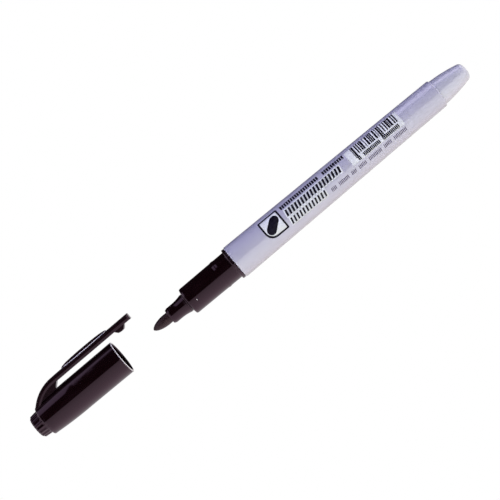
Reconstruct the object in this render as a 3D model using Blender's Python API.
"""Felt tip marker with its clip cap pulled off in line, ready to slide back on.

Metres, +Z up. The marker lies along X on a surface at z = 0, nib toward -X and tail toward +X, and the
cap stands in front of the nib on the same axis. The origin is under the middle of the whole length.
Stations along the axis are measured from the barrel's front face, positive toward the tail.
"""

from math import asin, atan2, cos, pi, radians, sin, sqrt

import bmesh
import bpy
from mathutils import Matrix, Vector

MM = 0.001

# Shared by every piece
FIT_GAP = 0.3 * MM  # between faces that touch on the real marker
ROUND = 48  # facets round a piece that shows
INNER_ROUND = 32  # facets round a piece that is hidden inside

# Barrel: a moulded tube that narrows toward the tail
BARREL_LENGTH = 85.8 * MM
BARREL_FRONT_R = 6.06 * MM
BARREL_REAR_R = 5.15 * MM
SOCKET_R = 5.0 * MM  # takes the front section's spigot
REAR_BORE_R = 4.3 * MM  # takes the tail plug's spigot
REAR_SOCKET_DEPTH = 8.0 * MM
BARREL_REAR_EDGE = 0.7 * MM

# Front section: nozzle, grip cylinder, flange and spigot in one moulding
SECTION_FRONT = -20.3 * MM
SECTION_FRONT_R = 4.86 * MM
SECTION_REAR_R = 4.97 * MM
SECTION_EDGE = 0.75 * MM  # length of the coned and rounded front edge
NOZZLE_LENGTH = 7.35 * MM
NOZZLE_R = 2.86 * MM
NOZZLE_CHAMFER = 0.35 * MM
FLARE_LENGTH = 3.9 * MM
FLARE_R = 3.42 * MM
FLARE_SAG = 0.13 * MM
FLANGE_R = 5.82 * MM
FLANGE_THICKNESS = 0.85 * MM
FLANGE_EDGE = 0.17 * MM
BEAD_STATION = -6.0 * MM  # low ring that the cap grips
BEAD_WIDTH = 1.8 * MM
BEAD_HEIGHT = 0.12 * MM
SPIGOT_LENGTH = 8.3 * MM
SECTION_BORE_R = 3.4 * MM

# Nib: one long rod of pressed felt with a bullet point
NIB_R = 1.85 * MM
NIB_SHOWS = 6.75 * MM
NIB_POINT = 4.9 * MM
NIB_REACH = 9.6 * MM  # how far it goes into the reservoir
NIB_POINT_POWERS = (1.8, 0.6)

# Reservoir: fibre core, film sleeve round it, breather tube in the core's groove
CORE_R = 3.4 * MM
CORE_LENGTH = 69.0 * MM
SLEEVE_R = 3.9 * MM
SLEEVE_WALL = 0.2 * MM
GROOVE_R = 0.7 * MM
GROOVE_CENTRE = 3.05 * MM
TUBE_R = 0.45 * MM
TUBE_BORE_R = 0.25 * MM
TUBE_CENTRE = 3.0 * MM

# Tail plug: tapered, hollow from inside, pressed into the barrel
PLUG_END = 97.8 * MM
PLUG_FRONT_R = 4.62 * MM
PLUG_CORNER = 96.1 * MM
PLUG_CORNER_R = 3.25 * MM
PLUG_FLAT_R = 1.6 * MM
PLUG_SAG = 0.25 * MM
PLUG_WALL = 1.3 * MM
PLUG_SPIGOT = 7.0 * MM

# Cap shell: an open tube with an end wall at the crown and the clip's root on its side
CAP_STANDOFF = 13.4 * MM  # from the nib's point to the cap's mouth
SHELL_LENGTH = 32.7 * MM
MOUTH_R = 6.08 * MM
SHELL_MIDDLE = 17.7 * MM  # from the mouth to where the side starts to curve in
SHELL_MIDDLE_R = 5.98 * MM
SHELL_SHOULDER = 31.4 * MM
SHELL_SHOULDER_R = 5.45 * MM
SHELL_SAG = 0.18 * MM
MOUTH_BORE_R = 5.4 * MM
DEEP_BORE_R = 5.2 * MM
END_WALL = 1.2 * MM
CROWN_HOLE_R = 4.6 * MM

# Inner cap: seal cup inside the shell, ribbed crown standing out of its end
CUP_R = 4.85 * MM
CUP_DEPTH = 19.3 * MM  # from the mouth down to the cup's rim
CUP_RIM_R = 3.9 * MM
CUP_BORE_R = 3.05 * MM
CUP_FUNNEL = 3.95 * MM
SEAL_R = 2.94 * MM
SEAL_WIDTH = 0.8 * MM
SEAL_DEPTH = 6.2 * MM  # from the cup's rim to the seal ring
CROWN_LENGTH = 3.75 * MM
CROWN_BASE_R = 4.3 * MM
CROWN_END_R = 3.9 * MM
CROWN_EDGE = 0.5 * MM
CROWN_WALL = 1.2 * MM
CROWN_RIBS = 18
RIB_DEPTH = 0.28 * MM
FACETS_PER_RIB = 4

# Clip: a crowned strip off the cap's shoulder, with a grip nub under its tip and an oval pad on its back
CLIP_DROOP = radians(22)  # below the horizontal, where the clip's edge meets the surface
CLIP_SIDE_REACH = 9.86 * MM  # how far the drooping clip reaches sideways from the axis
CLIP_HALF_WIDTH = 2.7 * MM
CLIP_EDGE_R = 9.3 * MM  # outer edge above the cap's axis, at the bend
CLIP_TIP_RISE = 0.25 * MM
CLIP_CROWNING = 0.4 * MM
CLIP_INNER_R = 7.41 * MM
CLIP_INNER_RISE = 0.16 * MM
CLIP_OVERHANG = 9.95 * MM  # how far the tip passes the mouth
CLIP_BEND = 21.9 * MM  # from the mouth back to the end of the bend
CLIP_SLOT = 22.75 * MM  # from the mouth back to the slot's closed end
CLIP_TIP_CORNER = 1.1 * MM
CLIP_SAG = 1.2 * MM
CLIP_FOOT_R = 4.7 * MM
WEB_HALF_WIDTH = 1.9 * MM
BAND_THICKNESS = 1.8 * MM
NUB_STATION = 5.0 * MM  # beyond the mouth
NUB_CHORD = 4.3 * MM
NUB_DROP = 1.32 * MM
PAD_BACK = 7.8 * MM  # from the mouth back to the pad's middle
PAD_LENGTH = 18.7 * MM
PAD_HALF_WIDTH = 1.4 * MM
PAD_HEIGHT = 0.5 * MM

# Stations that follow from the sizes above
FLANGE_REAR = -FIT_GAP
FLANGE_FRONT = FLANGE_REAR - FLANGE_THICKNESS
NOZZLE_FRONT = SECTION_FRONT - NOZZLE_LENGTH
NIB_TIP = NOZZLE_FRONT - NIB_SHOWS
CORE_FRONT = SPIGOT_LENGTH + FIT_GAP
MOUTH = NIB_TIP - CAP_STANDOFF
SHELL_END = MOUTH - SHELL_LENGTH
CROWN_END = SHELL_END - CROWN_LENGTH
CUP_RIM = MOUTH - CUP_DEPTH
PLUG_SHOULDER = BARREL_LENGTH + FIT_GAP
BARREL_FRONT_X = -(CROWN_END + PLUG_END) / 2
AXIS_Y = -(CLIP_SIDE_REACH - MOUTH_R) / 2
AXIS_HEIGHT = MOUTH_R


def bow(start, end, sag, count):
    """Points of a round arc from start to end, its middle standing sag to the left of the straight line."""
    start, end = Vector(start), Vector(end)
    chord = end - start
    half = chord.length / 2
    radius = (half * half + sag * sag) / (2 * abs(sag))
    reach = asin(half / radius)
    left = Vector((-chord.y, chord.x)).normalized() * (1 if sag > 0 else -1)
    centre = (start + end) / 2 + left * (abs(sag) - radius)
    angles = [reach * (2 * i / count - 1) for i in range(count + 1)]
    along = chord.normalized()
    return [tuple(centre + left * radius * cos(t) + along * radius * sin(t)) for t in angles]


def new_object(name, bm, material, smooth_angle=35):
    """Closes the mesh's faces outward and puts it in the scene, shaded smooth between its sharp edges."""
    bmesh.ops.recalc_face_normals(bm, faces=bm.faces)
    mesh = bpy.data.meshes.new(name)
    bm.to_mesh(mesh)
    bm.free()
    mesh.shade_smooth()
    mesh.set_sharp_from_angle(angle=radians(smooth_angle))
    mesh.materials.append(material)
    obj = bpy.data.objects.new(name, mesh)
    bpy.context.scene.collection.objects.link(obj)
    return obj


def turned(profile, steps, closed=True):
    """A profile of (station, radius) points, spun round the X axis into a closed mesh."""
    bm = bmesh.new()
    verts = [bm.verts.new((station, radius, 0)) for station, radius in profile]
    pairs = list(zip(verts, verts[1:])) + ([(verts[-1], verts[0])] if closed else [])
    edges = [bm.edges.new(pair) for pair in pairs]
    bmesh.ops.spin(
        bm, geom=verts + edges, cent=(0, 0, 0), axis=(1, 0, 0), angle=2 * pi, steps=steps, use_merge=True
    )
    bmesh.ops.remove_doubles(bm, verts=bm.verts, dist=1e-7)
    return bm


def sliced(outline_at, offsets):
    """A solid made of closed outlines of (station, height) points, one at each sideways offset."""
    bm = bmesh.new()
    rings = [[bm.verts.new((s, h, offset)) for s, h in outline_at(offset)] for offset in offsets]
    for ring, after in zip(rings, rings[1:]):
        for i, vert in enumerate(ring):
            j = (i + 1) % len(ring)
            bm.faces.new((vert, ring[j], after[j], after[i]))
    bm.faces.new(rings[0])
    bm.faces.new(rings[-1])
    return bm


def plastic(name, colour, roughness):
    material = bpy.data.materials.new(name)
    material.use_nodes = True
    shader = material.node_tree.nodes["Principled BSDF"]
    shader.inputs["Base Color"].default_value = (*colour, 1)
    shader.inputs["Roughness"].default_value = roughness
    shader.inputs["Metallic"].default_value = 0
    material.diffuse_color = (*colour, 1)
    return material


def boolean(obj, tool, operation):
    """Keeps the tool as a hidden wire helper and combines it with the object."""
    tool.hide_render = True
    tool.display_type = "WIRE"
    modifier = obj.modifiers.new(tool.name, "BOOLEAN")
    modifier.operation = operation
    modifier.object = tool


def make_barrel():
    """Open tube, walls about 1 mm, with a socket at each end."""
    taper = (BARREL_REAR_R - BARREL_FRONT_R) / BARREL_LENGTH
    edge = 0.15 * MM
    rear_start = (BARREL_LENGTH - BARREL_REAR_EDGE, BARREL_REAR_R - taper * BARREL_REAR_EDGE)
    rear_lip = (BARREL_LENGTH, BARREL_REAR_R - 0.45 * MM)
    profile = [
        (0, SOCKET_R),
        (0, BARREL_FRONT_R - edge),
        (edge, BARREL_FRONT_R),
        *bow(rear_start, rear_lip, 0.15 * MM, 4),
        (BARREL_LENGTH, REAR_BORE_R),
        (BARREL_LENGTH - REAR_SOCKET_DEPTH, REAR_BORE_R),
        (SPIGOT_LENGTH + FIT_GAP, SOCKET_R - 0.1 * MM),
        (SPIGOT_LENGTH + FIT_GAP, SOCKET_R),
    ]
    colour = plastic("barrel_plastic", (0.50, 0.50, 0.60), 0.28)
    return new_object("barrel", turned(profile, ROUND), colour)


def make_front_section(black):
    """Hollow moulding: the nozzle holds the nib, the flange stops the barrel and the cap."""
    nozzle_bore = NIB_R + FIT_GAP
    flare_start = (SECTION_FRONT - 0.4 * MM - FLARE_LENGTH, NOZZLE_R)
    flare_end = (SECTION_FRONT - 0.4 * MM, FLARE_R)
    edge_end = SECTION_FRONT + SECTION_EDGE
    bead_slope = BEAD_WIDTH / 2
    bead_base = SECTION_FRONT_R + (SECTION_REAR_R - SECTION_FRONT_R) * 0.7
    spigot_r = SOCKET_R - FIT_GAP
    profile = [
        (NOZZLE_FRONT, nozzle_bore),
        (NOZZLE_FRONT, NOZZLE_R - NOZZLE_CHAMFER),
        (NOZZLE_FRONT + NOZZLE_CHAMFER, NOZZLE_R - 0.06 * MM),
        *bow(flare_start, flare_end, -FLARE_SAG, 6),
        (SECTION_FRONT, FLARE_R + 0.1 * MM),
        (SECTION_FRONT + SECTION_EDGE * 0.6, SECTION_FRONT_R - 0.15 * MM),
        (edge_end, SECTION_FRONT_R),
        (BEAD_STATION - bead_slope, bead_base),
        (BEAD_STATION, bead_base + BEAD_HEIGHT),
        (BEAD_STATION + bead_slope, bead_base),
        (FLANGE_FRONT, SECTION_REAR_R),
        (FLANGE_FRONT, FLANGE_R - FLANGE_EDGE),
        (FLANGE_FRONT + FLANGE_EDGE, FLANGE_R),
        (FLANGE_REAR - FLANGE_EDGE, FLANGE_R),
        (FLANGE_REAR, FLANGE_R - FLANGE_EDGE),
        (FLANGE_REAR, spigot_r),
        (SPIGOT_LENGTH - 0.4 * MM, spigot_r),
        (SPIGOT_LENGTH, spigot_r - 0.3 * MM),
        (SPIGOT_LENGTH, SECTION_BORE_R),
        (SECTION_FRONT + 1.8 * MM, SECTION_BORE_R),
        (SECTION_FRONT + 0.5 * MM, nozzle_bore),
    ]
    return new_object("front_section", turned(profile, ROUND), black)


def make_nib():
    """Rod with a bullet point in front and a blunt tapered tail inside the reservoir."""
    shape, fullness = NIB_POINT_POWERS
    steps = 10
    point = []
    for i in range(steps + 1):
        back = 1 - cos(pi / 2 * i / steps)
        point.append((NIB_TIP + back * NIB_POINT, NIB_R * (1 - (1 - back) ** shape) ** fullness))
    rear = CORE_FRONT + NIB_REACH
    profile = [*point, (rear - 0.6 * MM, NIB_R), (rear, NIB_R * 0.75), (rear, 0)]
    felt = plastic("nib_felt", (0.02, 0.015, 0.016), 0.9)
    return new_object("nib", turned(profile, INNER_ROUND, closed=False), felt)


def make_reservoir_core():
    """Fibre rod with a blind hole for the nib and a groove along one side for the breather tube."""
    hole_r = NIB_R + FIT_GAP
    hole_end = CORE_FRONT + NIB_REACH + FIT_GAP
    rear = CORE_FRONT + CORE_LENGTH
    profile = [(hole_end, 0), (hole_end, hole_r), (CORE_FRONT, hole_r), (CORE_FRONT, CORE_R), (rear, CORE_R), (rear, 0)]
    fibre = plastic("reservoir_fibre", (0.10, 0.09, 0.12), 0.95)
    core = new_object("reservoir_core", turned(profile, INNER_ROUND, closed=False), fibre)
    margin = 1 * MM
    ends = [(CORE_FRONT - margin, 0), (CORE_FRONT - margin, GROOVE_R), (rear + margin, GROOVE_R), (rear + margin, 0)]
    groove = new_object("groove_cutter", turned(ends, 16, closed=False), fibre)
    groove.location = (0, 0, GROOVE_CENTRE)
    groove.parent = core
    boolean(core, groove, "DIFFERENCE")
    return core


def make_reservoir_sleeve():
    """Thin film wrapped round the fibre core."""
    front, rear = CORE_FRONT + 0.2 * MM, CORE_FRONT + CORE_LENGTH - 0.2 * MM
    inner = SLEEVE_R - SLEEVE_WALL
    film = plastic("sleeve_film", (0.75, 0.76, 0.78), 0.35)
    profile = [(front, inner), (front, SLEEVE_R), (rear, SLEEVE_R), (rear, inner)]
    return new_object("reservoir_sleeve", turned(profile, INNER_ROUND), film)


def make_breather_tube():
    """Fine tube that lets air past the fibre as the ink is used."""
    rear = CORE_FRONT + CORE_LENGTH
    profile = [(CORE_FRONT, TUBE_BORE_R), (CORE_FRONT, TUBE_R), (rear, TUBE_R), (rear, TUBE_BORE_R)]
    clear = plastic("tube_plastic", (0.80, 0.80, 0.80), 0.3)
    return new_object("breather_tube", turned(profile, 12), clear)


def make_tail_plug():
    """Tapered plug with a small flat on its end, cored out from the spigot side."""
    spigot_r = REAR_BORE_R - FIT_GAP
    spigot_end = BARREL_LENGTH - PLUG_SPIGOT
    cavity_end = PLUG_END - 2 * MM
    cavity_r = spigot_r - PLUG_WALL + 0.4 * MM
    profile = [
        (cavity_end, 0),
        (cavity_end, PLUG_CORNER_R - PLUG_WALL - 0.3 * MM),
        (PLUG_SHOULDER, cavity_r - 0.2 * MM),
        (spigot_end, cavity_r),
        (spigot_end, spigot_r - 0.2 * MM),
        (spigot_end + 0.4 * MM, spigot_r),
        (PLUG_SHOULDER, spigot_r),
        (PLUG_SHOULDER, PLUG_FRONT_R - 0.15 * MM),
        *bow((PLUG_SHOULDER + 0.15 * MM, PLUG_FRONT_R), (PLUG_CORNER, PLUG_CORNER_R), PLUG_SAG, 6),
        *bow((PLUG_CORNER, PLUG_CORNER_R), (PLUG_END, PLUG_FLAT_R), 0.42 * MM, 5)[1:],
        (PLUG_END, 0),
    ]
    colour = plastic("plug_plastic", (0.50, 0.50, 0.60), 0.28)
    return new_object("tail_plug", turned(profile, ROUND, closed=False), colour)


def clip_edge(station):
    """Height of the clip's outer edge above the cap's axis, along the straight part."""
    bend, tip = MOUTH - CLIP_BEND, MOUTH + CLIP_OVERHANG
    return CLIP_EDGE_R + CLIP_TIP_RISE * max(0, (station - bend) / (tip - bend))


def crowning(offset):
    """How far the strip's rounded back stands above its edge, at a sideways offset."""
    return CLIP_CROWNING * (1 - (offset / CLIP_HALF_WIDTH) ** 2)


def pad_height(station, offset):
    """Height of the oval pad above the strip's back."""
    along = (station - (MOUTH - PAD_BACK)) / (PAD_LENGTH / 2)
    if abs(along) >= 1:
        return 0
    half_width = PAD_HALF_WIDTH * sqrt(1 - along * along)
    return PAD_HEIGHT * (1 - along * along) if abs(offset) < half_width else 0


def tip_station(offset):
    """The strip's end, with its two corners rounded as seen from above."""
    into_corner = max(0, abs(offset) - (CLIP_HALF_WIDTH - CLIP_TIP_CORNER))
    drop = CLIP_TIP_CORNER - sqrt(max(0, CLIP_TIP_CORNER**2 - into_corner**2))
    return MOUTH + CLIP_OVERHANG - drop


def clip_outline(offset):
    """Side view of the free strip at a sideways offset, from the slot's end to the tip and back."""
    root, tip = MOUTH - CLIP_SLOT + FIT_GAP, tip_station(offset)
    count = 22
    outer = []
    for i in range(count + 1):
        station = root + (tip - root) * i / count
        outer.append((station, clip_edge(station) + crowning(offset) + pad_height(station, offset)))
    nub = MOUTH + NUB_STATION
    start = (nub + NUB_CHORD / 2, CLIP_INNER_R + CLIP_INNER_RISE)
    end = (nub - NUB_CHORD / 2, CLIP_INNER_R + CLIP_INNER_RISE)
    return [*outer, (tip, start[1]), *bow(start, end, NUB_DROP, 8), (root, CLIP_INNER_R)]


def band_outline(offset):
    """Side view of the clip's bent root: a band of even thickness that rises off the cap's shoulder."""
    foot = (SHELL_END + 0.3 * MM, CLIP_FOOT_R + crowning(offset))
    top = (MOUTH - CLIP_BEND, CLIP_EDGE_R + crowning(offset))
    end = MOUTH - CLIP_SLOT
    outer = [point for point in bow(foot, top, CLIP_SAG, 10) if point[0] < end]
    outer.append((end, outer[-1][1] + 0.03 * MM))
    under = CLIP_FOOT_R - 0.2 * MM
    inner = bow((end, CLIP_INNER_R), (foot[0] + BAND_THICKNESS, under), -CLIP_SAG * 0.8, 8)
    return [*outer, *inner, (foot[0], under)]


def web_outline(offset):
    """Side view of the web that fills the corner between the band and the shell."""
    end = MOUTH - CLIP_SLOT
    under = DEEP_BORE_R + 0.3 * MM
    return [(SHELL_END + 3 * MM, under), (SHELL_END + 4 * MM, 6.5 * MM), (end, CLIP_INNER_R + 0.5 * MM), (end, under)]


def even_offsets(half_width, count):
    return [half_width * (2 * i / count - 1) for i in range(count + 1)]


def make_cap_shell(black):
    """Thin tube open at the mouth, holed at the crown, with the clip's root moulded on."""
    shoulder = (MOUTH - SHELL_SHOULDER, SHELL_SHOULDER_R)
    wall_inside = SHELL_END + END_WALL
    profile = [
        (MOUTH, MOUTH_BORE_R),
        (MOUTH, MOUTH_R - 0.15 * MM),
        (MOUTH - 0.15 * MM, MOUTH_R),
        *bow((MOUTH - SHELL_MIDDLE, SHELL_MIDDLE_R), shoulder, -SHELL_SAG, 5),
        *bow(shoulder, (SHELL_END, CROWN_HOLE_R + 0.15 * MM), -0.25 * MM, 4)[1:],
        (SHELL_END, CROWN_HOLE_R),
        (wall_inside, CROWN_HOLE_R),
        (wall_inside, DEEP_BORE_R),
        (MOUTH - SHELL_MIDDLE, DEEP_BORE_R),
    ]
    shell = new_object("cap_shell", turned(profile, ROUND), black)
    offsets = even_offsets(CLIP_HALF_WIDTH, 6)
    band = new_object("clip_band", sliced(band_outline, offsets), black)
    web = new_object("clip_web", sliced(web_outline, even_offsets(WEB_HALF_WIDTH, 1)), black)
    room = [(wall_inside, 0), (wall_inside, DEEP_BORE_R), (MOUTH - SHELL_MIDDLE, DEEP_BORE_R), (MOUTH - SHELL_MIDDLE, 0)]
    bore = new_object("bore_cutter", turned(room, ROUND, closed=False), black)
    boolean(band, bore, "DIFFERENCE")
    for tool in (band, web):
        boolean(shell, tool, "UNION")
    for helper in (band, web, bore):
        helper.parent = shell
        helper.hide_render = True
    return shell


def make_inner_cap(black):
    """Seal cup and hollow ribbed crown in one moulding, pushed in through the cap's mouth."""
    shoulder = SHELL_END + END_WALL + FIT_GAP
    seal = CUP_RIM - SEAL_DEPTH
    crown_inside = CROWN_END + CROWN_WALL
    profile = [
        (CUP_RIM, CUP_RIM_R),
        (CUP_RIM, CUP_R - 0.2 * MM),
        (CUP_RIM - 0.3 * MM, CUP_R),
        (shoulder, CUP_R),
        (shoulder, CROWN_BASE_R),
        (SHELL_END, CROWN_BASE_R),
        (CROWN_END + CROWN_EDGE, CROWN_END_R),
        (CROWN_END + CROWN_EDGE * 0.3, CROWN_END_R - CROWN_EDGE * 0.3),
        (CROWN_END, CROWN_END_R - CROWN_EDGE),
        (CROWN_END, 0),
        (crown_inside, 0),
        (crown_inside, CUP_BORE_R),
        (seal - SEAL_WIDTH, CUP_BORE_R),
        (seal - SEAL_WIDTH / 2, SEAL_R),
        (seal, CUP_BORE_R),
        (CUP_RIM - CUP_FUNNEL, CUP_BORE_R),
    ]
    bm = turned(profile[9:] + profile[:10], CROWN_RIBS * FACETS_PER_RIB, closed=False)
    pitch = 2 * pi / CROWN_RIBS
    for vert in bm.verts:
        radius = sqrt(vert.co.y**2 + vert.co.z**2)
        on_side = CROWN_END < vert.co.x < SHELL_END - 0.1 * MM and radius > CUP_BORE_R + FIT_GAP
        phase = (atan2(vert.co.z, vert.co.y) / pitch) % 1
        if on_side and 0.4 < phase < 0.9:
            vert.co.yz = vert.co.yz * (1 - RIB_DEPTH / radius)
    return new_object("inner_cap", bm, black)


def place(obj, above_axis=0.0):
    """Puts the object's origin on the marker's axis at the barrel's front face, or that far above it."""
    obj.location = (BARREL_FRONT_X, AXIS_Y, AXIS_HEIGHT + above_axis)


def make_cap(black):
    """The cap's three pieces, turned so that the clip's edge comes down to the surface."""
    axis = bpy.data.objects.new("cap_axis", None)
    axis.location = (BARREL_FRONT_X + MOUTH, AXIS_Y, AXIS_HEIGHT)
    axis.rotation_euler.x = -CLIP_DROOP
    hinge = bpy.data.objects.new("clip_hinge", None)
    hinge.parent = axis
    hinge.location = (-CLIP_SLOT, (CLIP_INNER_R + CLIP_EDGE_R) / 2, 0)
    shell, inner = make_cap_shell(black), make_inner_cap(black)
    steps = 10
    offsets = [CLIP_HALF_WIDTH * sin(pi / 2 * (2 * i / steps - 1)) for i in range(steps + 1)]
    clip = new_object("cap_clip", sliced(clip_outline, offsets), black)
    for empty in (axis, hinge):
        bpy.context.scene.collection.objects.link(empty)
    for piece, parent, origin in (
        (shell, axis, (MOUTH, 0, 0)),
        (inner, axis, (MOUTH, 0, 0)),
        (clip, hinge, (MOUTH - CLIP_SLOT, (CLIP_INNER_R + CLIP_EDGE_R) / 2, 0)),
    ):
        move = Matrix.Translation(-Vector(origin))
        for obj in (piece, *piece.children):
            obj.data.transform(move)
        piece.parent = parent


def main():
    for obj in list(bpy.data.objects):
        bpy.data.objects.remove(obj)
    black = plastic("black_plastic", (0.018, 0.012, 0.015), 0.22)
    place(make_barrel())
    place(make_front_section(black))
    place(make_nib())
    place(make_reservoir_core())
    place(make_reservoir_sleeve())
    place(make_breather_tube(), TUBE_CENTRE)
    place(make_tail_plug())
    make_cap(black)


main()
